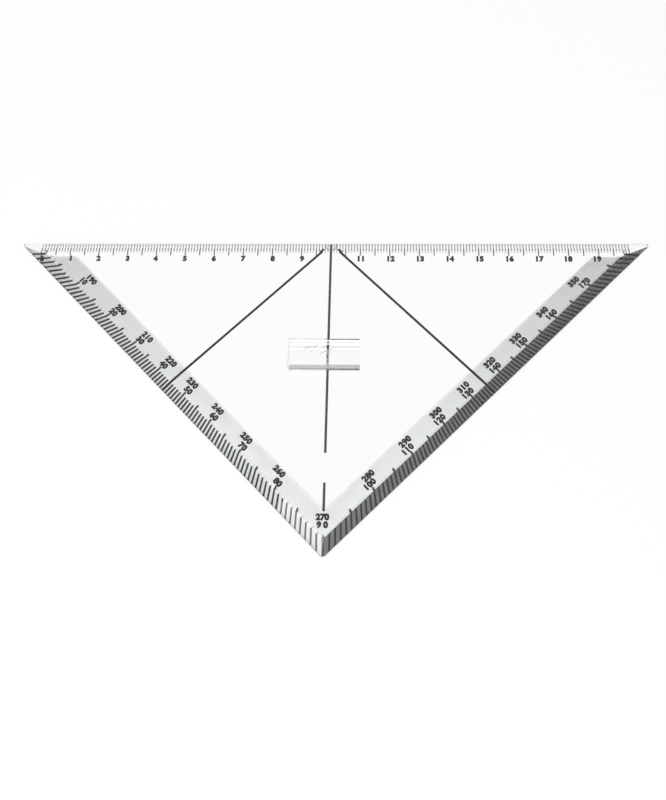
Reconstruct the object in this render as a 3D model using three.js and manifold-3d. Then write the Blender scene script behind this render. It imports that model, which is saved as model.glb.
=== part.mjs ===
// Navigation triangle: a clear acrylic plotting triangle with a bevelled edge and a cemented grip
// Millimetres, +Z up, the engraved underside at Z = 0. X runs along the long edge and Y points towards it.
import * as THREE from 'three';
import { mergeVertices } from 'three/addons/utils/BufferGeometryUtils.js';
import Module from 'manifold-3d';

const wasm = await Module();
wasm.setup();

// Plate: a right-angled triangle with equal legs, its sizes measured to the sharp corners
const longEdge = 215;
const plateThickness = 3;
const edgeLand = 1.2; // upright height left under the bevel
const bevelWidth = 4;
const tipRadius = 0.6;
const apexRadius = 1.2;

// Engraving in the underside
const engravingDepth = 0.15;
const cutOverrun = 0.5; // how far every cutter runs past the face that it opens

// Ruler along the long edge, centred on the plotting centre
const rulerLength = 200;
const rulerStep = 1;
const rulerStepsPerLongTick = 5;
const rulerTick = 3.3;
const rulerLongTick = 4.45;
const rulerTickWidth = 0.3;

// Degree scale along both legs, with the plotting centre at the middle of the long edge
const firstDegree = 2;
const lastDegree = 178;
const degreesPerLongTick = 5;
const degreeTick = 4.3;
const degreeLongTick = 5.1;
const degreeTickWidth = 0.55;
const apexDegree = 90; // the ray to the apex
const courseDegrees = [45, 135]; // the rays to the middles of the legs

// Ring round the plotting centre
const ringRadius = 2;
const ringStroke = 0.35;
const ringInset = 0.9;
const ringCentreGap = 0.3;

// Inlaid lines
const inlayGap = 0.05; // at each side of an inlay in its channel
const centreLineWidth = 0.6;
const centreLineBandLap = 0.55; // how far the lower stretch runs on over the band's inner corner
const centreLineLowerLength = 9.2007576; // puts its start 84 from the plotting centre
const centreLineBreak = 9.5; // bare between the two stretches
const courseLineWidth = 0.55;
const courseLineStart = 3.3;

// Tinted band under the degree scale and its figures, from the leg edges inwards
const bandDepth = 0.05;
const bandWidth = 10.5;
const bandRulerGap = 0.5;
const bandCornerRadius = 1.5;
const bandTipDrop = 1; // each pointed end is cut off square, this far below the long edge

// Grip and its cement
const gripLength = 23;
const gripDepth = 9;
const gripHeight = 5;
const gripEdgeEase = 0.25;
const gripOffset = 1.1; // the grip sits a little left of the centre line
const gripCentreFromEdge = 42.9;
const cementThickness = 0.15;
const cementInset = 0.4;
const cementCornerRadius = 1.2;

// Worked out from the sizes above
const halfEdge = longEdge / 2;
const legDistance = halfEdge * Math.SQRT1_2; // from the plotting centre square to each leg
const legLength = longEdge * Math.SQRT1_2;
const apexCutBack = apexRadius * (Math.SQRT2 - 1);
const longEdgePlace = (halfEdge - apexCutBack) / 2; // puts the middle of the outline at the origin
const bandTop = rulerLongTick + bandRulerGap;
const mitreSlope = Math.tan(Math.PI / 8); // fall of the bevels' mitre from each tip, for its run inwards
const centreLineLowerEnd = (legDistance - bandWidth) * Math.SQRT2 + centreLineBandLap;
const centreLineLowerStart = centreLineLowerEnd - centreLineLowerLength;
const centreLineUpperEnd = centreLineLowerStart - centreLineBreak;
const arcSteps = 6;
const ringSteps = 28;
const quarterTurn = Math.PI / 2;
const rightLegTurn = -quarterTurn / 2; // the way that each leg faces
const leftLegTurn = -3 * quarterTurn / 2;

// Appearance
const clearAcrylic = { color: 0xeef3f3, roughness: 0.05, metalness: 0, transparent: true, opacity: 0.35 };
const clearCement = { color: 0xe6e6df, roughness: 0.3, metalness: 0, transparent: true, opacity: 0.5 };
const blackInk = { color: 0x16171a, roughness: 0.55, metalness: 0 };
const greyInk = { color: 0x4a4a4c, roughness: 0.55, metalness: 0 };
const greyTint = { color: 0xdcdedf, roughness: 0.6, metalness: 0 };

// Closed three.js geometry to a solid that can be joined and cut
function toSolid(geometry, matrix) {
  const bare = geometry.index ? geometry.toNonIndexed() : geometry.clone();
  bare.deleteAttribute('normal');
  bare.deleteAttribute('uv');
  if (matrix) bare.applyMatrix4(matrix);
  const merged = mergeVertices(bare);
  const vertProperties = new Float32Array(merged.attributes.position.array);
  const triVerts = new Uint32Array(merged.index.array);
  return new wasm.Manifold(new wasm.Mesh({ numProp: 3, vertProperties, triVerts }));
}

function toGeometry(solid) {
  const { vertProperties, triVerts } = solid.getMesh();
  const geometry = new THREE.BufferGeometry();
  geometry.setAttribute('position', new THREE.BufferAttribute(vertProperties, 3));
  geometry.setIndex(new THREE.BufferAttribute(triVerts, 1));
  geometry.computeVertexNormals();
  return geometry;
}

function extruded(shape, depth, curveSegments = arcSteps) {
  return new THREE.ExtrudeGeometry(shape, { depth, bevelEnabled: false, curveSegments });
}

// Outline through anticlockwise corners, each rounded to its own radius or left sharp at zero
function roundedOutline(corners, radii) {
  const shape = new THREE.Shape();
  corners.forEach((corner, i) => {
    const towardsLast = corners.at(i - 1).clone().sub(corner).normalize();
    const towardsNext = corners[(i + 1) % corners.length].clone().sub(corner).normalize();
    const halfAngle = towardsLast.angleTo(towardsNext) / 2;
    const bisector = towardsLast.clone().add(towardsNext).normalize();
    const centre = corner.clone().addScaledVector(bisector, radii[i] / Math.sin(halfAngle));
    const tangent = radii[i] / Math.tan(halfAngle);
    const start = corner.clone().addScaledVector(towardsLast, tangent).sub(centre);
    const end = corner.clone().addScaledVector(towardsNext, tangent).sub(centre);
    const first = start.clone().add(centre);
    if (i === 0) shape.moveTo(first.x, first.y);
    else shape.lineTo(first.x, first.y);
    if (radii[i] > 0) shape.absarc(centre.x, centre.y, radii[i], start.angle(), end.angle(), false);
  });
  shape.closePath();
  return shape;
}

// Wedge that bevels one edge, lying along it with the edge's middle at the given distance and turn
function bevelCutter(distance, turn, length) {
  const rise = plateThickness - edgeLand;
  const slope = rise / bevelWidth;
  const section = new THREE.Shape([
    new THREE.Vector2(-cutOverrun, edgeLand - slope * cutOverrun),
    new THREE.Vector2(bevelWidth + cutOverrun, plateThickness + slope * cutOverrun),
    new THREE.Vector2(-cutOverrun, plateThickness + slope * cutOverrun),
  ]);
  const outward = new THREE.Vector3(Math.cos(turn), Math.sin(turn), 0);
  const inward = outward.clone().negate();
  const up = new THREE.Vector3(0, 0, 1);
  const along = new THREE.Vector3().crossVectors(inward, up);
  const runLength = length + 2 * cutOverrun;
  const placed = new THREE.Matrix4().makeBasis(inward, up, along);
  placed.setPosition(outward.multiplyScalar(distance).addScaledVector(along, -runLength / 2));
  return toSolid(extruded(section, runLength), placed);
}

// Straight bar on the underside from one distance to another along a ray from the plotting centre
function rayBar(angle, from, to, width, low, high) {
  const bar = new THREE.BoxGeometry(to - from, width, high - low);
  bar.translate((from + to) / 2, 0, (low + high) / 2);
  bar.rotateZ(angle);
  return bar;
}

function engravedBar(angle, from, to, width) {
  return toSolid(rayBar(angle, from, to, width, -cutOverrun, engravingDepth));
}

// One ruler graduation, square to the long edge
function rulerCutter(index) {
  const fromCentre = index * rulerStep;
  const length = index % rulerStepsPerLongTick === 0 ? rulerLongTick : rulerTick;
  const bar = rayBar(-quarterTurn, -cutOverrun, length, rulerTickWidth, -cutOverrun, engravingDepth);
  bar.translate(fromCentre, 0, 0);
  return toSolid(bar);
}

// One degree graduation, on its ray from the plotting centre, ending in line with its neighbours
function degreeCutter(degree) {
  const angle = -THREE.MathUtils.degToRad(degree);
  const legNormal = degree < apexDegree ? rightLegTurn : leftLegTurn;
  const stretch = 1 / Math.cos(angle - legNormal);
  const length = degree % degreesPerLongTick === 0 ? degreeLongTick : degreeTick;
  const from = (legDistance - length) * stretch;
  const to = (legDistance + cutOverrun) * stretch;
  return engravedBar(angle, from, to, degreeTickWidth);
}

// Ring round the plotting centre, broken where the centre line passes
function ringCutter() {
  const shape = new THREE.Shape().absarc(0, -ringInset, ringRadius, 0, 2 * Math.PI, false);
  shape.holes.push(new THREE.Path().absarc(0, -ringInset, ringRadius - ringStroke, 0, 2 * Math.PI, true));
  const ring = extruded(shape, engravingDepth + cutOverrun, ringSteps);
  ring.translate(0, 0, -cutOverrun);
  const reach = ringInset + ringRadius + cutOverrun;
  const pass = centreLineWidth + 2 * ringCentreGap;
  const gap = rayBar(-quarterTurn, -reach, reach, pass, -2 * cutOverrun, engravingDepth + cutOverrun);
  return toSolid(ring).subtract(toSolid(gap));
}

// Inlaid lines: the centre line in two stretches and a course line to the middle of each leg
const inlays = [
  { name: 'centre_line_upper', angle: -quarterTurn, from: 0, to: centreLineUpperEnd, width: centreLineWidth,
    ink: greyInk },
  { name: 'centre_line_lower', angle: -quarterTurn, from: centreLineLowerStart, to: centreLineLowerEnd,
    width: centreLineWidth, ink: greyInk },
  { name: 'left_course_line', angle: leftLegTurn, from: courseLineStart, to: legDistance,
    width: courseLineWidth, ink: blackInk },
  { name: 'right_course_line', angle: rightLegTurn, from: courseLineStart, to: legDistance,
    width: courseLineWidth, ink: blackInk },
];

// A line lies above the band, one gap inside each end of its channel
function inlayBar({ angle, from, to, width }) {
  return rayBar(angle, from + inlayGap, to - inlayGap, width, bandDepth, engravingDepth);
}

// The channel of a line that meets an edge of the plate runs out through it
function inlayChannel({ angle, from, to, width }) {
  const start = from === 0 ? -cutOverrun : from;
  const end = to === legDistance ? to + cutOverrun : to;
  return engravedBar(angle, start, end, width + 2 * inlayGap);
}

// Tinted band: one V beside both legs. Its upper ends lie below the ruler's ticks, and run on to the
// tips below the mitres. The clearance widens it on every side but the outer one, which has its own place.
function bandOutline(outerDistance, outerRadius, clearance) {
  const outer = outerDistance * Math.SQRT2;
  const inner = (legDistance - bandWidth - clearance) * Math.SQRT2;
  const top = bandTop - clearance;
  const end = outer - bandTipDrop;
  const corners = [
    new THREE.Vector2(0, -outer),
    new THREE.Vector2(end, -bandTipDrop),
    new THREE.Vector2(end, clearance - (halfEdge - end) * mitreSlope),
    new THREE.Vector2(halfEdge - bandTop / mitreSlope, -top),
    new THREE.Vector2(inner - top, -top),
    new THREE.Vector2(0, -inner),
    new THREE.Vector2(-(inner - top), -top),
    new THREE.Vector2(-(halfEdge - bandTop / mitreSlope), -top),
    new THREE.Vector2(-end, clearance - (halfEdge - end) * mitreSlope),
    new THREE.Vector2(-end, -bandTipDrop),
  ];
  const radii = Array(corners.length).fill(0);
  radii[0] = outerRadius;
  for (const i of [4, 6]) radii[i] = bandCornerRadius + clearance;
  return roundedOutline(corners, radii);
}

function bandFilm() {
  return extruded(bandOutline(legDistance - inlayGap, apexRadius - inlayGap, 0), bandDepth);
}

function bandRecess() {
  const outline = bandOutline(legDistance + cutOverrun, 0, inlayGap);
  return toSolid(extruded(outline, bandDepth + cutOverrun).translate(0, 0, -cutOverrun));
}

// Plate: rounded outline, three bevels that meet in mitres, then the whole engraving
function plateGeometry() {
  const corners = [
    new THREE.Vector2(-halfEdge, 0),
    new THREE.Vector2(0, -halfEdge),
    new THREE.Vector2(halfEdge, 0),
  ];
  let plate = toSolid(extruded(roundedOutline(corners, [tipRadius, apexRadius, tipRadius]), plateThickness));
  plate = plate.subtract(bevelCutter(0, quarterTurn, longEdge));
  plate = plate.subtract(bevelCutter(legDistance, rightLegTurn, legLength));
  plate = plate.subtract(bevelCutter(legDistance, leftLegTurn, legLength));
  let engraving = ringCutter();
  const rulerHalfSteps = Math.round(rulerLength / rulerStep / 2);
  for (let index = -rulerHalfSteps; index <= rulerHalfSteps; index += 1) {
    if (index !== 0) engraving = engraving.add(rulerCutter(index));
  }
  for (let degree = firstDegree; degree <= lastDegree; degree += 1) {
    if (!courseDegrees.includes(degree)) engraving = engraving.add(degreeCutter(degree));
  }
  for (const inlay of inlays) engraving = engraving.add(inlayChannel(inlay));
  return toGeometry(plate.subtract(engraving.add(bandRecess())));
}

// Grip: a plain block with every edge eased
function gripGeometry() {
  const shape = new THREE.Shape();
  const halfLength = gripLength / 2 - gripEdgeEase;
  const halfDepth = gripDepth / 2 - gripEdgeEase;
  shape.moveTo(-halfLength, -halfDepth);
  shape.lineTo(halfLength, -halfDepth);
  shape.lineTo(halfLength, halfDepth);
  shape.lineTo(-halfLength, halfDepth);
  shape.closePath();
  const block = new THREE.ExtrudeGeometry(shape, {
    depth: gripHeight - 2 * gripEdgeEase,
    bevelSize: gripEdgeEase,
    bevelThickness: gripEdgeEase,
    bevelSegments: 2,
  });
  return block.translate(0, 0, gripEdgeEase);
}

// Cement: a thin film drawn in from the grip's sides
function cementGeometry() {
  const halfLength = gripLength / 2 - cementInset;
  const halfDepth = gripDepth / 2 - cementInset;
  const corners = [
    new THREE.Vector2(-halfLength, -halfDepth),
    new THREE.Vector2(halfLength, -halfDepth),
    new THREE.Vector2(halfLength, halfDepth),
    new THREE.Vector2(-halfLength, halfDepth),
  ];
  return extruded(roundedOutline(corners, Array(corners.length).fill(cementCornerRadius)), cementThickness);
}

function piece(name, geometry, appearance) {
  const mesh = new THREE.Mesh(geometry, new THREE.MeshStandardMaterial(appearance));
  mesh.name = name;
  return mesh;
}

// The plotting group has its own origin at the plotting centre, where all the scales are struck from
const plotting = new THREE.Group();
plotting.position.y = longEdgePlace;
plotting.add(piece('plate', plateGeometry(), clearAcrylic));
for (const inlay of inlays) plotting.add(piece(inlay.name, inlayBar(inlay), inlay.ink));
plotting.add(piece('tint_band', bandFilm(), greyTint));

const gripStack = new THREE.Group();
gripStack.position.set(-gripOffset, -gripCentreFromEdge, plateThickness);
const grip = piece('grip', gripGeometry(), clearAcrylic);
grip.position.z = cementThickness;
gripStack.add(piece('grip_cement', cementGeometry(), clearCement), grip);
plotting.add(gripStack);

const navigationTriangle = new THREE.Group();
navigationTriangle.name = 'navigation_triangle';
navigationTriangle.add(plotting);

export default navigationTriangle;
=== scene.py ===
import math

import bmesh
import bpy
from mathutils import Euler, Matrix, Vector


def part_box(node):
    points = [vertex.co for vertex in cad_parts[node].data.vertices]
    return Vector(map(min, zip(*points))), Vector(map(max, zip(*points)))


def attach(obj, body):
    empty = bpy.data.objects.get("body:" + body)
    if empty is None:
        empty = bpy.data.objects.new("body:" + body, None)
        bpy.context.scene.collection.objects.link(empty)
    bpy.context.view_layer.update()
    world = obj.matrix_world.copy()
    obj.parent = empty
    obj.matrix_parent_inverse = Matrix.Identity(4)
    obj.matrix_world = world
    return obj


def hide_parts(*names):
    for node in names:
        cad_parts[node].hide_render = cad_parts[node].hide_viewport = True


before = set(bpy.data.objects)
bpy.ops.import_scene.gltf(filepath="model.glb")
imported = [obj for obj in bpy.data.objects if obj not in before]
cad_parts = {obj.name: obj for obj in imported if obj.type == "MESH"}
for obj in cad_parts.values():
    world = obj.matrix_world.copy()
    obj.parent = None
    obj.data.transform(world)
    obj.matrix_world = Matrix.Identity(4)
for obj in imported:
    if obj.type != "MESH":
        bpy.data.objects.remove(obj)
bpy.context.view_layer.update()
print("frame loaded:", len(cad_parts), "nodes")

mm = 0.001
root2 = math.sqrt(2)
pureWhite = (1, 1, 1, 1)

# What every piece is placed by, in mm and degrees, from the plotting centre in the middle of the long edge
triangle = {
    "edgeY": 53.50147,       # the long edge's place in the frame
    "halfEdge": 107.5,
    "legDistance": 76.0140,  # plotting centre square to each leg
    "edgeFaces": 90, "legFaces": (-45, -135),  # the ways that the long edge and the legs face
    "apexDegree": 90,        # the degree scale runs from 0 at the left tip to 180 at the right one
    "courses": (45, 135),    # the degrees that lie square to the left leg and the right leg
}


def plotted(x, down, z=0.0):
    # x along the long edge, down from it towards the apex, z up
    return Vector((x, triangle["edgeY"] - down, z)) * mm


def rayOf(degree):
    # the way from the plotting centre to a degree, and its lean from the normal of the leg that it meets
    ray = math.radians(degree)
    leftCourse, rightCourse = triangle["courses"]
    course = leftCourse if degree <= triangle["apexDegree"] else rightCourse
    return Vector((-math.cos(ray), math.sin(ray))), ray - math.radians(course)


def bar(mesh, start, end, width, low, high):
    # straight bar between two plotted places
    a, b = plotted(*start), plotted(*end)
    along = b - a
    middle = (a + b) / 2 + Vector((0, 0, (low + high) / 2 * mm))
    turn = Matrix.Rotation(math.atan2(along.y, along.x), 4, "Z")
    size = Matrix.Diagonal((along.length, width * mm, (high - low) * mm, 1))
    return bmesh.ops.create_cube(mesh, size=1, matrix=Matrix.Translation(middle) @ turn @ size)["verts"]


def outline(mesh, corners, z, steps=6):
    # face over plotted corners, each (x, down, radius)
    ends = []
    for before, (x, down, radius), after in zip(corners[-1:] + corners, corners, corners[1:] + corners[:1]):
        corner = plotted(x, down, z)
        back = (plotted(*before[:2], z) - corner).normalized()
        on = (plotted(*after[:2], z) - corner).normalized()
        half = back.angle(on) / 2
        start = mesh.verts.new(corner + back * radius / math.tan(half) * mm)
        end = start
        if radius:  # a point is spun round the corner's arc
            hub = corner + (back + on).normalized() * radius / math.sin(half) * mm
            turn = math.copysign(math.pi - 2 * half, -back.cross(on).z)
            spun = bmesh.ops.spin(mesh, geom=[start], cent=hub, axis=(0, 0, 1), angle=turn, steps=steps)
            end = next(part for part in spun["geom_last"] if isinstance(part, bmesh.types.BMVert))
        ends.append((start, end))
    for (_, end), (start, _) in zip(ends, ends[1:] + ends[:1]):
        mesh.edges.new((end, start))
    return bmesh.ops.contextual_create(mesh, geom=mesh.edges[:])["faces"]


def prism(mesh, corners, low, high):
    # solid with upright sides over such corners
    raised = bmesh.ops.extrude_face_region(mesh, geom=outline(mesh, corners, low))["geom"]
    points = [part for part in raised if isinstance(part, bmesh.types.BMVert)]
    bmesh.ops.translate(mesh, verts=points, vec=(0, 0, (high - low) * mm))


def finishPiece(name, mesh, materials, replaced=()):
    bmesh.ops.recalc_face_normals(mesh, faces=mesh.faces)
    data = bpy.data.meshes.new(name)
    mesh.to_mesh(data)
    mesh.free()
    for material in materials:
        data.materials.append(material)
    piece = bpy.data.objects.new(name, data)
    bpy.context.scene.collection.objects.link(piece)
    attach(piece, "root")
    if replaced:
        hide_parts(*replaced)


def linear(hexColour):
    shares = [int(hexColour[i:i + 2], 16) / 255 for i in (1, 3, 5)]
    return tuple(s / 12.92 if s <= 0.04045 else ((s + 0.055) / 1.055) ** 2.4 for s in shares) + (1.0,)


def newMaterial(name):
    material = bpy.data.materials.new(name)
    material.use_nodes = True
    material.node_tree.nodes.clear()
    return material


def addNode(owner, kind, inputs=None, **settings):
    # adds a node with its settings; an input that is given a socket is linked to it
    node = owner.node_tree.nodes.new(kind)
    for name, value in settings.items():
        setattr(node, name, value)
    for name, value in (inputs or {}).items():
        if isinstance(value, bpy.types.NodeSocket):
            owner.node_tree.links.new(value, node.inputs[name])
        else:
            node.inputs[name].default_value = value
    return node


def overlay(material, share, tone):
    # lays a second tone over a material's own one where the share is 1
    shader = next(node for node in material.node_tree.nodes if node.type == "BSDF_PRINCIPLED")
    own = shader.inputs["Base Color"].links[0].from_socket
    mixed = addNode(material, "ShaderNodeMix", {0: share, 6: own, 7: tone}, data_type="RGBA")
    material.node_tree.links.new(mixed.outputs[2], shader.inputs["Base Color"])
    return material


# Plate

plate = {
    "land": 1.2, "bevel": 4.0, "top": 3.0,
    "underside": 0.055,  # the band lies below it, and the inked lines stand 0.003 mm out of it
    "tipRadius": 0.6, "apexRadius": 1.2,
    "ease": 0.1, "easeSegments": 2,  # arrises after polishing
    "easeFrom": 1.0, "arrisAngle": 12,  # only arrises above this height and sharper than this are eased
    "cutReach": 0.00001, "mergeReach": 0.001,  # points this near count as one, in a cut and after all three
    "uprightBelow": 0.05,  # a face is an upright land where its normal rises less than this
    "paintedShadeAbove": 0.3,  # and the ruler's bevel, given painted shade, where its normal leans more than this towards the long edge
    "tint": "#feffff", "tintDeep": "#fcfdfd", "hazeCell": 25, "hazeDetail": 2.0,
    "wipeTurn": 12, "wipeLength": 9, "wipePitch": 0.5, "wipeBump": 0.03, "wipeDepth": 0.02, "wipeDetail": 3.0,
    "roughness": 0.0, "transmission": 1.0, "ior": 1.49,
}
rulerBevel = {**plate, "tint": "#f8f9f9", "tintDeep": "#eff0f0", "hazeCell": 6}  # painted shade: a greyer tint than the sheet's, with finer mottle
milledLandWithPaintedShade = {
    # painted shade: both grey tones darken the matt edge into a dark outline
    "paintedShadeDark": "#5d6062", "paintedShadeLight": "#8d9092", "markPitch": 0.5, "markHeight": 6.0, "markDetail": 2.0,
    "roughness": 0.45, "transmission": 0.3, "ior": 1.49,
}


def castAcrylic(name, look):
    # Polymethyl methacrylate, cast and polished: clear, almost colourless, with faint wipe marks in its gloss
    material = newMaterial(name)
    place = addNode(material, "ShaderNodeTexCoord").outputs["Object"]
    haze = addNode(material, "ShaderNodeTexNoise", {
        "Vector": place, "Scale": 1 / (look["hazeCell"] * mm), "Detail": look["hazeDetail"]})
    tint = addNode(material, "ShaderNodeMix", {
        0: haze.outputs["Fac"], 6: linear(look["tint"]), 7: linear(look["tintDeep"])}, data_type="RGBA")
    stretched = addNode(material, "ShaderNodeMapping", {
        "Vector": place, "Rotation": (0, 0, math.radians(look["wipeTurn"])),
        "Scale": (look["wipeLength"] * mm, look["wipePitch"] * mm, look["wipePitch"] * mm)},
        vector_type="TEXTURE")
    wipes = addNode(material, "ShaderNodeTexNoise", {
        "Vector": stretched.outputs["Vector"], "Scale": 1.0, "Detail": look["wipeDetail"]})
    bump = addNode(material, "ShaderNodeBump", {
        "Height": wipes.outputs["Fac"], "Strength": look["wipeBump"], "Distance": look["wipeDepth"] * mm})
    shader = addNode(material, "ShaderNodeBsdfPrincipled", {
        "Base Color": tint.outputs[2], "Roughness": look["roughness"], "IOR": look["ior"],
        "Transmission Weight": look["transmission"], "Normal": bump.outputs["Normal"]})
    addNode(material, "ShaderNodeOutputMaterial", {"Surface": shader.outputs["BSDF"]})
    return material


def milledAcrylic(name, look):
    # The same sheet where a cutter left it matt, with painted shade: a satin grey line round the outline, with
    # upright marks
    material = newMaterial(name)
    place = addNode(material, "ShaderNodeTexCoord").outputs["Object"]
    stretched = addNode(material, "ShaderNodeMapping", {
        "Vector": place, "Scale": (look["markPitch"] * mm, look["markPitch"] * mm, look["markHeight"] * mm)},
        vector_type="TEXTURE")
    marks = addNode(material, "ShaderNodeTexNoise", {
        "Vector": stretched.outputs["Vector"], "Scale": 1.0, "Detail": look["markDetail"]})
    tone = addNode(material, "ShaderNodeMix", {
        0: marks.outputs["Fac"], 6: linear(look["paintedShadeDark"]), 7: linear(look["paintedShadeLight"])}, data_type="RGBA")
    shader = addNode(material, "ShaderNodeBsdfPrincipled", {
        "Base Color": tone.outputs[2], "Roughness": look["roughness"], "IOR": look["ior"],
        "Transmission Weight": look["transmission"]})
    addNode(material, "ShaderNodeOutputMaterial", {"Surface": shader.outputs["BSDF"]})
    return material


sheetAcrylic = castAcrylic("cast acrylic sheet, polished", plate)
bevelAcrylicWithPaintedShade = castAcrylic("cast acrylic sheet, bevel with painted shade", rulerBevel)
milledEdgeWithPaintedShade = milledAcrylic("acrylic sheet edge, milled matt, with painted shade", milledLandWithPaintedShade)
sheetSurfaces = [sheetAcrylic, milledEdgeWithPaintedShade, bevelAcrylicWithPaintedShade]

sheet = bmesh.new()
tips = [(-triangle["halfEdge"], 0, plate["tipRadius"]), (0, triangle["halfEdge"], plate["apexRadius"]),
        (triangle["halfEdge"], 0, plate["tipRadius"])]
prism(sheet, tips, plate["underside"], plate["top"])
legs = [(triangle["legDistance"], facing) for facing in triangle["legFaces"]]
for distance, facing in [(0, triangle["edgeFaces"]), *legs]:
    outward = Vector((math.cos(math.radians(facing)), math.sin(math.radians(facing)), 0))
    foot = plotted(0, 0, plate["land"]) + outward * distance * mm
    slope = outward * (plate["top"] - plate["land"]) + Vector((0, 0, plate["bevel"]))
    cut = bmesh.ops.bisect_plane(sheet, geom=sheet.verts[:] + sheet.edges[:] + sheet.faces[:], plane_co=foot,
                                 dist=plate["cutReach"] * mm, plane_no=slope.normalized(), clear_outer=True)
    rim = [part for part in cut["geom_cut"] if isinstance(part, bmesh.types.BMEdge)]
    bmesh.ops.contextual_create(sheet, geom=rim)
bmesh.ops.remove_doubles(sheet, verts=sheet.verts, dist=plate["mergeReach"] * mm)
bmesh.ops.recalc_face_normals(sheet, faces=sheet.faces)
arrises = [edge for edge in sheet.edges
           if edge.is_manifold and edge.calc_face_angle() > math.radians(plate["arrisAngle"])
           and all(corner.co.z > plate["easeFrom"] * mm for corner in edge.verts)]
bmesh.ops.bevel(sheet, geom=arrises, offset=plate["ease"] * mm, segments=plate["easeSegments"], profile=0.5,
                affect="EDGES", material=-1, clamp_overlap=True)
for face in sheet.faces:
    if abs(face.normal.z) < plate["uprightBelow"]:
        face.material_index = sheetSurfaces.index(milledEdgeWithPaintedShade)
    elif face.normal.y > plate["paintedShadeAbove"]:
        face.material_index = sheetSurfaces.index(bevelAcrylicWithPaintedShade)
finishPiece("plate_sheet", sheet, sheetSurfaces, ["plate"])
print("plate made")


# Tinted band: one V printed under both legs, with painted shade as a darker strip under the right leg's bevel,
# and painted highlights as white lines where the bevels start

band = {
    "width": 10.5, "top": 4.95, "tipDrop": 1.0, "apexRadius": 1.15, "innerRadius": 1.5, "sideGap": 0.05,
    "mitre": 22.5,  # half the angle between the long edge and a leg
    "low": 0.006, "high": 0.034,
    # tones by mm inwards from the leg's edge; the right's dark first stretch is painted shade under its bevel,
    # and the white stops at 4.3 and 4.6 mm are painted highlights
    "left": ((0.0, "#f8f8f9"), (3.9, "#f8f8f9"), (4.3, "#ffffff"),
             (5.0, "#f8f8f9"), (9.2, "#f8f8f9"), (9.9, "#ffffff")),
    "right": ((0.0, "#808284"), (4.4, "#737577"), (4.6, "#ffffff"),
              (5.2, "#fafafb"), (9.3, "#fafafb"), (10.2, "#ffffff")),
    # tones multiplied in towards the tips, by mm from the centre line
    "darkens": (30, 95), "leftTips": "#e4e4e5", "rightTips": "#dedee0",
    "newStop": 0.5,  # where a ramp's new stop stands until it is placed: between the first and the last
    "mottle": 1.5, "mottleShare": 0.12, "roughness": 0.6, "ior": 1.5,
}


def tintPrint(name, look):
    # Screen print in matt grey ink: even and soft, darker towards the tips, with painted highlights where the
    # bevels start and painted shade under the right leg's bevel
    material = newMaterial(name)
    coordinates = addNode(material, "ShaderNodeTexCoord").outputs["Object"]
    place = addNode(material, "ShaderNodeSeparateXYZ", {"Vector": coordinates})
    across = addNode(material, "ShaderNodeMath", {0: place.outputs["X"]}, operation="ABSOLUTE")
    down = addNode(material, "ShaderNodeMath", {
        0: triangle["edgeY"] * mm, 1: place.outputs["Y"]}, operation="SUBTRACT")
    both = addNode(material, "ShaderNodeMath", {0: across.outputs[0], 1: down.outputs[0]}, operation="ADD")
    outwards = addNode(material, "ShaderNodeMath", {
        0: both.outputs[0], 1: 1 / (root2 * mm)}, operation="MULTIPLY")
    inwards = addNode(material, "ShaderNodeMapRange", {
        "Value": outwards.outputs[0], "From Min": triangle["legDistance"] - look["width"],
        "From Max": triangle["legDistance"], "To Min": 1.0, "To Max": 0.0})
    spots = addNode(material, "ShaderNodeTexNoise", {
        "Vector": coordinates, "Scale": 1 / (look["mottle"] * mm)})
    spread = addNode(material, "ShaderNodeMapRange", {
        "Value": spots.outputs["Fac"], "To Min": -look["mottleShare"] / 2, "To Max": look["mottleShare"] / 2})
    along = addNode(material, "ShaderNodeMapRange", {
        "Value": across.outputs[0], "From Min": look["darkens"][0] * mm, "From Max": look["darkens"][1] * mm})
    share = addNode(material, "ShaderNodeMath", {
        0: along.outputs[0], 1: spread.outputs[0]}, operation="ADD", use_clamp=True)
    sides = []
    for side in ("left", "right"):
        tones = addNode(material, "ShaderNodeValToRGB", {"Fac": inwards.outputs[0]})
        stops = tones.color_ramp.elements
        while len(stops) < len(look[side]):
            stops.new(look["newStop"])
        for stop, (reach, colour) in zip(stops, look[side]):
            stop.position = reach / look["width"]
            stop.color = linear(colour)
        darkening = addNode(material, "ShaderNodeMix", {
            0: share.outputs[0], 6: pureWhite, 7: linear(look[side + "Tips"])}, data_type="RGBA")
        sides.append(addNode(material, "ShaderNodeMix", {
            0: 1.0, 6: tones.outputs["Color"], 7: darkening.outputs[2]},
            data_type="RGBA", blend_type="MULTIPLY"))
    right = addNode(material, "ShaderNodeMath", {0: place.outputs["X"], 1: 0.0}, operation="GREATER_THAN")
    tone = addNode(material, "ShaderNodeMix", {
        0: right.outputs[0], 6: sides[0].outputs[2], 7: sides[1].outputs[2]}, data_type="RGBA")
    shader = addNode(material, "ShaderNodeBsdfPrincipled", {
        "Base Color": tone.outputs[2], "Roughness": look["roughness"], "IOR": look["ior"]})
    addNode(material, "ShaderNodeOutputMaterial", {"Surface": shader.outputs["BSDF"]})
    return material


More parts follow.
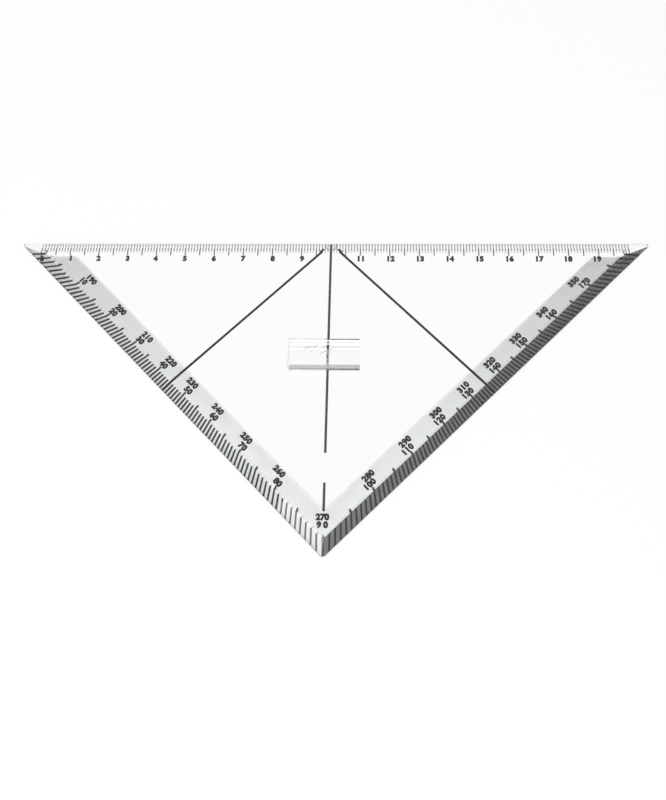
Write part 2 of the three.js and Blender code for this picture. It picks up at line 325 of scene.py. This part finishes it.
tinted = bmesh.new()
outer = (triangle["legDistance"] - band["sideGap"]) * root2
inner = (triangle["legDistance"] - band["width"]) * root2
tip = outer - band["tipDrop"]
mitreSlope = math.tan(math.radians(band["mitre"]))
rightHalf = [(tip, band["tipDrop"], 0), (tip, (triangle["halfEdge"] - tip) * mitreSlope, 0),
             (triangle["halfEdge"] - band["top"] / mitreSlope, band["top"], 0),
             (inner - band["top"], band["top"], band["innerRadius"])]
leftHalf = [(-x, down, radius) for x, down, radius in reversed(rightHalf)]
bandCorners = [(0, outer, band["apexRadius"]), *rightHalf, (0, inner, 0), *leftHalf]
prism(tinted, bandCorners, band["low"], band["high"])
greyPrintWithPaintedShadeAndHighlights = tintPrint("grey screen print, matt ink", band)
finishPiece("tint_band_print_with_painted_shade_and_highlights", tinted, [greyPrintWithPaintedShadeAndHighlights], ["tint_band"])
print("band made")


# Graduations: ink wiped into the engraved ticks

ticks = {
    "low": 0.052, "high": 0.148, "endGap": 0.02,
    "longEvery": 5,
    "rulerReach": 100, "rulerTick": 3.3, "rulerLongTick": 4.45, "rulerWidth": 0.38,
    "rulerBreak": (1.62, 1.85),  # bare stretch between a tick's faint outer part and its foot
    "degreeFirst": 2, "degreeLast": 178, "degreeTick": 4.3, "degreeLongTick": 5.1, "degreeWidth": 0.6,
    "apexShort": 0.6,  # the 90 degree tick stops inside the rounded apex
    "apexWidth": 0.28,  # and is thinner, because the two bevels show it twice
}
inks = {
    # each ink's tone where it lies deep and where it lies thin
    "black": ("#0b0b0c", "#171719"),
    "darkGrey": ("#262628", "#343437"),
    "grey": ("#3a3a3c", "#4b4b4e"),
    "middleGrey": ("#5c5e61", "#707275"),
    "paleGrey": ("#9a9ca0", "#abadb0"),
    "faintGrey": ("#babcbe", "#cbcdcf"),
    "grain": 0.4, "grainDetail": 3.0, "roughness": 0.55, "ior": 1.5,
}
# The stretch of the centre line that shows pale patches, by mm down from the long edge
clouding = {"middle": 43.2, "reach": 3.2, "pitch": 1.3, "from": 0.4, "to": 0.5, "pale": "#eeefef"}


def screenInk(name, look, shade):
    # Pigment in a matt binder: one even tone with slightly thinner spots
    material = newMaterial(name)
    deep, thin = look[shade]
    place = addNode(material, "ShaderNodeTexCoord").outputs["Object"]
    grain = addNode(material, "ShaderNodeTexNoise", {
        "Vector": place, "Scale": 1 / (look["grain"] * mm), "Detail": look["grainDetail"]})
    tone = addNode(material, "ShaderNodeMix", {
        0: grain.outputs["Fac"], 6: linear(deep), 7: linear(thin)}, data_type="RGBA")
    shader = addNode(material, "ShaderNodeBsdfPrincipled", {
        "Base Color": tone.outputs[2], "Roughness": look["roughness"], "IOR": look["ior"]})
    addNode(material, "ShaderNodeOutputMaterial", {"Surface": shader.outputs["BSDF"]})
    return material


def cloudedLine(name, look, shade, cloud):
    # The same ink with pale breaks in one stretch, where the grip's cement clouds the view of it
    material = screenInk(name, look, shade)
    coordinates = addNode(material, "ShaderNodeTexCoord").outputs["Object"]
    place = addNode(material, "ShaderNodeSeparateXYZ", {"Vector": coordinates})
    down = addNode(material, "ShaderNodeMath", {
        0: triangle["edgeY"] * mm, 1: place.outputs["Y"]}, operation="SUBTRACT")
    within = addNode(material, "ShaderNodeMath", {
        0: down.outputs[0], 1: cloud["middle"] * mm, 2: cloud["reach"] * mm}, operation="COMPARE")
    patches = addNode(material, "ShaderNodeTexNoise", {
        "Vector": coordinates, "Scale": 1 / (cloud["pitch"] * mm)})
    breaks = addNode(material, "ShaderNodeMapRange", {
        "Value": patches.outputs["Fac"], "From Min": cloud["from"], "From Max": cloud["to"]})
    here = addNode(material, "ShaderNodeMath", {
        0: within.outputs[0], 1: breaks.outputs[0]}, operation="MULTIPLY")
    return overlay(material, here.outputs[0], linear(cloud["pale"]))


blackInk = screenInk("black engraving ink", inks, "black")
darkInk = screenInk("dark grey engraving ink", inks, "darkGrey")
greyInk = screenInk("grey engraving ink", inks, "grey")
cloudedInk = cloudedLine("grey engraving ink, clouded below the grip", inks, "grey", clouding)
middleInk = screenInk("middle grey engraving ink", inks, "middleGrey")
paleInk = screenInk("pale grey engraving ink", inks, "paleGrey")
faintInk = screenInk("faint grey engraving ink", inks, "faintGrey")

rulerTicks = bmesh.new()
rulerInks = [faintInk, paleInk, middleInk]
breakStart, breakEnd = ticks["rulerBreak"]
for step in range(-ticks["rulerReach"], ticks["rulerReach"] + 1):
    if step != 0:
        long = step % ticks["longEvery"] == 0
        length, footInk = (ticks["rulerLongTick"], middleInk) if long else (ticks["rulerTick"], paleInk)
        stretches = ((ticks["endGap"], breakStart, faintInk), (breakEnd, length - ticks["endGap"], footInk))
        for near, far, ink in stretches:
            corners = bar(rulerTicks, (step, near), (step, far), ticks["rulerWidth"],
                          ticks["low"], ticks["high"])
            for face in {face for corner in corners for face in corner.link_faces}:
                face.material_index = rulerInks.index(ink)
finishPiece("ruler_ticks", rulerTicks, rulerInks)

degreeTicks = bmesh.new()
for degree in range(ticks["degreeFirst"], ticks["degreeLast"] + 1):
    if degree not in triangle["courses"]:
        way, lean = rayOf(degree)
        atApex = degree == triangle["apexDegree"]
        length = ticks["degreeLongTick"] if degree % ticks["longEvery"] == 0 else ticks["degreeTick"]
        width = ticks["apexWidth"] if atApex else ticks["degreeWidth"]
        trim = ticks["endGap"] + width / 2 * math.tan(abs(lean))
        near = (triangle["legDistance"] - (length - ticks["endGap"])) / math.cos(lean)
        far = (triangle["legDistance"] - trim) / math.cos(lean) - (ticks["apexShort"] if atApex else 0)
        bar(degreeTicks, way * near, way * far, width, ticks["low"], ticks["high"])
finishPiece("degree_ticks", degreeTicks, [darkInk])

# Ring round the plotting centre: two arcs, in degrees, from beside the centre line to the long edge
ring = {"radius": 1.825, "stroke": 0.33, "down": 0.9, "starts": (-70, 155), "sweep": 95, "steps": 12}
arcs = bmesh.new()
hub = plotted(0, ring["down"])
middle = Matrix.Translation(Vector((ring["radius"], 0, (ticks["low"] + ticks["high"]) / 2)) * mm)
upright = Matrix.Rotation(math.radians(90), 4, "X")
size = Matrix.Diagonal((ring["stroke"] * mm, (ticks["high"] - ticks["low"]) * mm, 1, 1))
for start in ring["starts"]:
    across = Matrix.Translation(hub) @ Matrix.Rotation(math.radians(start), 4, "Z")
    section = bmesh.ops.create_grid(arcs, x_segments=1, y_segments=1, size=0.5,
                                    matrix=across @ middle @ upright @ size)
    squares = list({face for corner in section["verts"] for face in corner.link_faces})
    bmesh.ops.spin(arcs, geom=squares, cent=hub, axis=(0, 0, 1), angle=math.radians(ring["sweep"]),
                   steps=ring["steps"])
finishPiece("centre_ring", arcs, [paleInk])

# Inked lines: the centre line in two stretches, and a course line to the middle of each leg
lines = {"width": 0.8, "centreUpper": (0.05, 74.45), "centreLower": (84.05, 93.15), "course": (3.35, 75.96)}
leftCourse, rightCourse = triangle["courses"]
for name, degree, reach, ink, slot in (
        ("centre_line_upper", triangle["apexDegree"], "centreUpper", cloudedInk, "grey_ink"),
        ("centre_line_lower", triangle["apexDegree"], "centreLower", greyInk, "grey_ink"),
        ("left_course_line", leftCourse, "course", blackInk, "black_ink"),
        ("right_course_line", rightCourse, "course", blackInk, "black_ink")):
    way = rayOf(degree)[0]
    near, far = lines[reach]
    line = bmesh.new()
    bar(line, way * near, way * far, lines["width"], ticks["low"], ticks["high"])
    finishPiece(name + "_ink", line, [ink], [name])
print("graduations made")


# Figures: bold sans numbers, screened over the band and beside the ruler

figures = {
    "height": 1.88, "capShare": 0.729,  # share of its size that the built-in font gives a figure's height
    "weight": 0.078, "steps": 6, "spacing": 1.12, "low": 0.052, "thick": 0.03, "mergeReach": 0.002,
    "rulerMiddle": 10,  # this figure is left out, because the centre line covers its place
    "centimetre": 10, "rulerDown": 5.75, "zero": (-99.6, 5.43),
    "every": 10, "outerDistance": 69.8, "innerDistance": 67.35,
    "innerAdds": 180,  # the inner row reads the course the other way
    "leftTurn": -45, "rightTurn": 45,
    "apex": (("90", -0.3, 97.44, 1.6), ("270", -0.3, 95.04, 1.04)),  # text, x, down, spacing
    # the figures were set by hand: how far each stands off its even place, along the ruler, and by x and down
    "rulerSetOff": {1: 0.4, 2: 0.1, 3: 0.2, 4: -0.1, 8: 0.2, 9: 0.2, 11: 0.2, 12: 0.2, 13: 0.2, 14: 0.2,
                    15: 0.2, 16: 0.2, 17: 0.1, 18: -0.3, 19: -0.7},
    "setOff": {10: (-0.3, -0.4), 20: (-0.2, -0.2), 30: (0.1, 0.2), 40: (-0.2, 0.0), 50: (0.0, 0.2),
               60: (0.1, 0.2), 70: (0.1, 0.3), 80: (0.2, 0.3), 100: (-0.7, 0.6), 110: (-0.5, 0.7),
               120: (-0.2, 0.6), 130: (0.0, 0.5), 140: (0.3, 0.3), 150: (0.3, 0.3), 160: (0.6, 0.0),
               170: (0.6, -0.1), 190: (-0.5, -0.4), 200: (-0.3, -0.2), 210: (0.2, 0.3), 220: (0.3, 0.4),
               230: (-0.4, -0.4), 240: (-0.1, -0.1), 250: (0.2, 0.1), 260: (0.0, -0.3), 280: (-0.7, 0.8),
               290: (-0.4, 0.7), 300: (-0.1, 0.4), 310: (0.2, 0.3), 320: (0.5, 0.0), 330: (0.6, 0.0),
               340: (0.3, 0.0)},
}


def addFigure(mesh, text, place, turn=0, spacing=figures["spacing"]):
    size = figures["height"] / figures["capShare"]
    curve = bpy.data.curves.new("figure", "FONT")
    curve.body = text
    curve.align_x, curve.align_y = "CENTER", "CENTER"
    curve.space_character = spacing
    curve.offset = figures["weight"]
    curve.extrude = figures["thick"] / 2 / size
    curve.resolution_u = figures["steps"]
    words = bpy.data.objects.new("figure", curve)
    bpy.context.scene.collection.objects.link(words)
    bpy.context.view_layer.update()
    flat = bpy.data.meshes.new_from_object(words.evaluated_get(bpy.context.evaluated_depsgraph_get()))
    middle = plotted(*place, figures["low"] + figures["thick"] / 2)
    turned = Matrix.Translation(middle) @ Matrix.Rotation(math.radians(turn), 4, "Z")
    flat.transform(turned @ Matrix.Scale(size * mm, 4))
    mesh.from_mesh(flat)
    bpy.data.objects.remove(words)
    bpy.data.curves.remove(curve)
    bpy.data.meshes.remove(flat)


def cleanFigures(mesh):
    bmesh.ops.remove_doubles(mesh, verts=mesh.verts, dist=figures["mergeReach"] * mm)
    bmesh.ops.dissolve_degenerate(mesh, edges=mesh.edges, dist=figures["mergeReach"] * mm)


rulerFigures = bmesh.new()
addFigure(rulerFigures, "0", figures["zero"])
for number in range(1, 2 * figures["rulerMiddle"]):
    if number != figures["rulerMiddle"]:
        even = (number - figures["rulerMiddle"]) * figures["centimetre"]
        x = even + figures["rulerSetOff"].get(number, 0)
        addFigure(rulerFigures, str(number), (x, figures["rulerDown"]))
cleanFigures(rulerFigures)
finishPiece("ruler_figures", rulerFigures, [blackInk])

degreeFigures = bmesh.new()
for text, x, down, spacing in figures["apex"]:
    addFigure(degreeFigures, text, (x, down), spacing=spacing)
for degree in range(figures["every"], 2 * triangle["apexDegree"], figures["every"]):
    if degree != triangle["apexDegree"]:
        way, lean = rayOf(degree)
        turn = figures["leftTurn"] if degree < triangle["apexDegree"] else figures["rightTurn"]
        rows = ((degree, figures["outerDistance"]), (degree + figures["innerAdds"], figures["innerDistance"]))
        for number, distance in rows:
            place = way * distance / math.cos(lean) + Vector(figures["setOff"].get(number, (0, 0)))
            addFigure(degreeFigures, str(number), place, turn)
cleanFigures(degreeFigures)
finishPiece("degree_figures", degreeFigures, [blackInk])
print("figures made")


# Grip and its cement

grip = {
    "ease": 0.25, "easeSegments": 3,
    "backScrapeAndShade": 0.45,  # the scraped line with painted shade along the top's back edge reaches this far inwards
    "flatFrom": 0.99,  # a face is flat, not eased, where its normal's largest part is at least this
    "leansFrom": 0.1,  # it looks to a side where that part of its normal is more than this
    "scrapedAndShadedBelow": 0.3,  # and the front's eased edges are scraped and given painted shade where their normals rise less than this
    "tint": "#ffffff", "tintDeep": "#fdfefe", "hazeCell": 12, "hazeDetail": 2.0,
    "wipeTurn": 35, "wipeLength": 5, "wipePitch": 0.4, "wipeBump": 0.03, "wipeDepth": 0.02, "wipeDetail": 3.0,
    "roughness": 0.0, "transmission": 1.0, "ior": 1.49,
}
sawn = {
    **grip, "wipeTurn": 0, "wipeLength": 9, "wipeBump": 0.2, "roughness": 0.12, "transmission": 0.6,
    "foot": (5.1, 4.6),  # painted shade: a darker line along the face's foot comes in between these heights
    "footPaintedShadePale": "#c4c6c7", "footPaintedShadeDark": "#4b4e50", "from": -1.5, "to": 1.0,  # and the painted shade darkens along x between these
}
arris = {
    "pale": "#d0d2d3", "paintedShadeDark": "#3a3c3d", "from": -1.5, "to": 1.0,  # painted shade: it darkens along x between these
    "markPitch": 1.2, "markShare": 0.2, "roughness": 0.4, "transmission": 0.1, "ior": 1.49,
}
cement = {
    "inset": 0.4, "radius": 1.2,
    "lap": 0.01,  # it reaches this far into the plate and the block, so that no air is left between them
    "clear": "#ffffff", "smear": "#8d908f",
    "streakTurn": 35, "streakLength": 5, "streakWidth": 1.1, "streakDetail": 2.0,
    "from": 0.5, "to": 0.8,  # values of the pattern between which a smear comes in
    "reach": 6.0, "middle": (-3.2, 38.6, 3.075),  # smears lie this near to one place: x, down and z
    "roughness": 0.0, "transmission": 1.0, "ior": 1.49,
}


def scrapedArris(name, look):
    # The block's eased edges, scraped and left matt, with painted shade: thin grey lines that are fainter on
    # the left half
    material = newMaterial(name)
    place = addNode(material, "ShaderNodeTexCoord").outputs["Object"]
    along = addNode(material, "ShaderNodeSeparateXYZ", {"Vector": place}).outputs["X"]
    half = addNode(material, "ShaderNodeMapRange", {
        "Value": along, "From Min": look["from"] * mm, "From Max": look["to"] * mm})
    marks = addNode(material, "ShaderNodeTexNoise", {"Vector": place, "Scale": 1 / (look["markPitch"] * mm)})
    spread = addNode(material, "ShaderNodeMapRange", {
        "Value": marks.outputs["Fac"], "To Min": -look["markShare"], "To Max": look["markShare"]})
    share = addNode(material, "ShaderNodeMath", {
        0: half.outputs[0], 1: spread.outputs[0]}, operation="ADD", use_clamp=True)
    tone = addNode(material, "ShaderNodeMix", {
        0: share.outputs[0], 6: linear(look["pale"]), 7: linear(look["paintedShadeDark"])}, data_type="RGBA")
    shader = addNode(material, "ShaderNodeBsdfPrincipled", {
        "Base Color": tone.outputs[2], "Roughness": look["roughness"], "IOR": look["ior"],
        "Transmission Weight": look["transmission"]})
    addNode(material, "ShaderNodeOutputMaterial", {"Surface": shader.outputs["BSDF"]})
    return material


def sawnAcrylic(name, look):
    # A cast block's sawn face, flamed half clear: hazy, with painted shade in a darker line along its foot
    material = castAcrylic(name, look)
    coordinates = addNode(material, "ShaderNodeTexCoord").outputs["Object"]
    place = addNode(material, "ShaderNodeSeparateXYZ", {"Vector": coordinates})
    half = addNode(material, "ShaderNodeMapRange", {
        "Value": place.outputs["X"], "From Min": look["from"] * mm, "From Max": look["to"] * mm})
    foot = addNode(material, "ShaderNodeMapRange", {
        "Value": place.outputs["Z"], "From Min": look["foot"][0] * mm, "From Max": look["foot"][1] * mm})
    tone = addNode(material, "ShaderNodeMix", {
        0: half.outputs[0], 6: linear(look["footPaintedShadePale"]), 7: linear(look["footPaintedShadeDark"])}, data_type="RGBA")
    return overlay(material, foot.outputs[0], tone.outputs[2])


def solventCement(name, look):
    # Acrylic cement, run in thin and cured clear: unseen but for a few grey smears where it was drawn out
    material = newMaterial(name)
    coordinates = addNode(material, "ShaderNodeTexCoord").outputs["Object"]
    middle = plotted(*look["middle"])
    far = addNode(material, "ShaderNodeVectorMath", {0: coordinates, 1: middle}, operation="DISTANCE")
    near = addNode(material, "ShaderNodeMapRange", {
        "Value": far.outputs["Value"], "From Min": look["reach"] / 2 * mm, "From Max": look["reach"] * mm,
        "To Min": 1.0, "To Max": 0.0})
    stretched = addNode(material, "ShaderNodeMapping", {
        "Vector": coordinates, "Location": middle, "Rotation": (0, 0, math.radians(look["streakTurn"])),
        "Scale": (look["streakLength"] * mm, look["streakWidth"] * mm, look["streakWidth"] * mm)},
        vector_type="TEXTURE")
    streaks = addNode(material, "ShaderNodeTexNoise", {
        "Vector": stretched.outputs["Vector"], "Scale": 1.0, "Detail": look["streakDetail"]})
    smears = addNode(material, "ShaderNodeMapRange", {
        "Value": streaks.outputs["Fac"], "From Min": look["from"], "From Max": look["to"]})
    here = addNode(material, "ShaderNodeMath", {
        0: smears.outputs[0], 1: near.outputs[0]}, operation="MULTIPLY")
    tone = addNode(material, "ShaderNodeMix", {
        0: here.outputs[0], 6: linear(look["clear"]), 7: linear(look["smear"])}, data_type="RGBA")
    shader = addNode(material, "ShaderNodeBsdfPrincipled", {
        "Base Color": tone.outputs[2], "Roughness": look["roughness"], "IOR": look["ior"],
        "Transmission Weight": look["transmission"]})
    addNode(material, "ShaderNodeOutputMaterial", {"Surface": shader.outputs["BSDF"]})
    return material


polishedBlock = castAcrylic("cast acrylic block, polished top", grip)
sawnFaceWithPaintedShade = sawnAcrylic("cast acrylic block, sawn face flamed half clear", sawn)
scrapedEdgeWithPaintedShade = scrapedArris("acrylic block's arris, scraped, with painted shade", arris)
blockSurfaces = [polishedBlock, sawnFaceWithPaintedShade, scrapedEdgeWithPaintedShade]

gripLow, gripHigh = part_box("grip")
block = bmesh.new()
size = Matrix.Diagonal((*(gripHigh - gripLow), 1))
bmesh.ops.create_cube(block, size=1, matrix=Matrix.Translation((gripLow + gripHigh) / 2) @ size)
bmesh.ops.bevel(block, geom=block.edges[:], offset=grip["ease"] * mm, segments=grip["easeSegments"],
                profile=0.5, affect="EDGES", material=-1)
backLine = gripHigh.y - grip["backScrapeAndShade"] * mm
bmesh.ops.bisect_plane(block, geom=block.verts[:] + block.edges[:] + block.faces[:],
                       plane_co=(0, backLine, 0), plane_no=(0, 1, 0))
for face in block.faces:
    eased = max(abs(part) for part in face.normal) < grip["flatFrom"]
    facesFront = face.normal.y < -grip["leansFrom"]
    topBack = face.normal.z > grip["leansFrom"] and face.calc_center_median().y > backLine
    if topBack or facesFront and eased and face.normal.z < grip["scrapedAndShadedBelow"]:
        face.material_index = blockSurfaces.index(scrapedEdgeWithPaintedShade)
    elif facesFront:
        face.material_index = blockSurfaces.index(sawnFaceWithPaintedShade)
finishPiece("grip_block", block, blockSurfaces, ["grip"])

filmLow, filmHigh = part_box("grip_cement")
film = bmesh.new()
left, right = gripLow.x / mm + cement["inset"], gripHigh.x / mm - cement["inset"]
back = triangle["edgeY"] - gripHigh.y / mm + cement["inset"]
front = triangle["edgeY"] - gripLow.y / mm - cement["inset"]
filmPlaces = [(left, back), (left, front), (right, front), (right, back)]
filmCorners = [(x, down, cement["radius"]) for x, down in filmPlaces]
prism(film, filmCorners, filmLow.z / mm - cement["lap"], filmHigh.z / mm + cement["lap"])
curedCement = solventCement("acrylic cement, cured clear", cement)
finishPiece("cement_film", film, [curedCement], ["grip_cement"])
print("grip made")


# Stage: paper floor, world, lamp and camera

stage = {
    "paper": "#f6f6f6", "paperAlt": "#fafafa", "grain": 3, "drop": 0.03,  # mm
    "reach": 4.0,  # metres
    "whiteShare": 0.75,  # how much of the floor's look is pure white for the camera and in gloss
    "glassShare": 0.985,  # and how much of it is, seen through the acrylic
    "sky": 1.0,  # strength of the white world, straight on and through the acrylic
    "fill": 0.58,  # and as a light and in reflections
}
key = {
    "from": (-0.6, -1.0), "elevation": 50,  # from the left and the front, and degrees up
    "distance": 1.1, "size": 0.9,  # metres
    "power": 9.4,  # watts
}
camera = {
    "place": (16.032, -104.922, 277.494),  # mm
    "turn": (20.2371, 2.3878, 1.407),  # degrees
    "lens": 41.407, "clip": (0.01, 20),
}


def eitherRay(owner, first, second):
    # 1 for rays of either kind
    rays = addNode(owner, "ShaderNodeLightPath")
    either = addNode(owner, "ShaderNodeMath", {
        0: rays.outputs[first], 1: rays.outputs[second]}, operation="MAXIMUM")
    return either.outputs[0]


def paperFloor(name, look):
    # Heavy matt paper, uncoated: white and even, with a soft shadow left on it
    material = newMaterial(name)
    place = addNode(material, "ShaderNodeTexCoord").outputs["Object"]
    grain = addNode(material, "ShaderNodeTexNoise", {"Vector": place, "Scale": 1 / (look["grain"] * mm)})
    tone = addNode(material, "ShaderNodeMix", {
        0: grain.outputs["Fac"], 6: linear(look["paper"]), 7: linear(look["paperAlt"])}, data_type="RGBA")
    lit = addNode(material, "ShaderNodeBsdfDiffuse", {"Color": tone.outputs[2]})
    white = addNode(material, "ShaderNodeEmission", {"Color": pureWhite})
    direct = eitherRay(material, "Is Camera Ray", "Is Glossy Ray")
    seen = addNode(material, "ShaderNodeMath", {0: direct, 1: look["whiteShare"]}, operation="MULTIPLY")
    rays = addNode(material, "ShaderNodeLightPath")
    through = addNode(material, "ShaderNodeMath", {
        0: rays.outputs["Is Transmission Ray"], 1: look["glassShare"]}, operation="MULTIPLY")
    share = addNode(material, "ShaderNodeMath", {
        0: seen.outputs[0], 1: through.outputs[0]}, operation="MAXIMUM")
    mixed = addNode(material, "ShaderNodeMixShader", {
        0: share.outputs[0], 1: lit.outputs[0], 2: white.outputs[0]})
    addNode(material, "ShaderNodeOutputMaterial", {"Surface": mixed.outputs[0]})
    return material


sweep = bmesh.new()
bmesh.ops.create_grid(sweep, x_segments=1, y_segments=1, size=stage["reach"],
                      matrix=Matrix.Translation((0, 0, -stage["drop"] * mm)))
floorData = bpy.data.meshes.new("floor")
sweep.to_mesh(floorData)
sweep.free()
floorData.materials.append(paperFloor("matt paper sweep", stage))
floor = bpy.data.objects.new("floor", floorData)
bpy.context.scene.collection.objects.link(floor)

world = bpy.data.worlds.new("studio")
world.use_nodes = True
world.node_tree.nodes.clear()
clear = eitherRay(world, "Is Camera Ray", "Is Transmission Ray")
strength = addNode(world, "ShaderNodeMapRange", {
    "Value": clear, "To Min": stage["fill"], "To Max": stage["sky"]})
sky = addNode(world, "ShaderNodeBackground", {"Color": pureWhite, "Strength": strength.outputs[0]})
addNode(world, "ShaderNodeOutputWorld", {"Surface": sky.outputs[0]})
bpy.context.scene.world = world

softbox = bpy.data.lights.new("key softbox", "AREA")
softbox.shape = "SQUARE"
softbox.size = key["size"]
softbox.energy = key["power"]
keyLamp = bpy.data.objects.new("key softbox", softbox)
bpy.context.scene.collection.objects.link(keyLamp)
rise = math.radians(key["elevation"])
level = Vector((*key["from"], 0)).normalized() * math.cos(rise)
keyLamp.location = (level + Vector((0, 0, math.sin(rise)))) * key["distance"]
keyLamp.rotation_euler = keyLamp.location.to_track_quat("Z", "Y").to_euler()
keyLamp.visible_camera = False

lens = bpy.data.cameras.new("camera")
lens.lens = camera["lens"]
lens.clip_start, lens.clip_end = camera["clip"]
view = bpy.data.objects.new("camera", lens)
bpy.context.scene.collection.objects.link(view)
view.location = Vector(camera["place"]) * mm
view.rotation_euler = Euler([math.radians(turn) for turn in camera["turn"]], "XYZ")
bpy.context.scene.camera = view
bpy.context.scene.view_settings.view_transform = "Standard"
print("stage made")
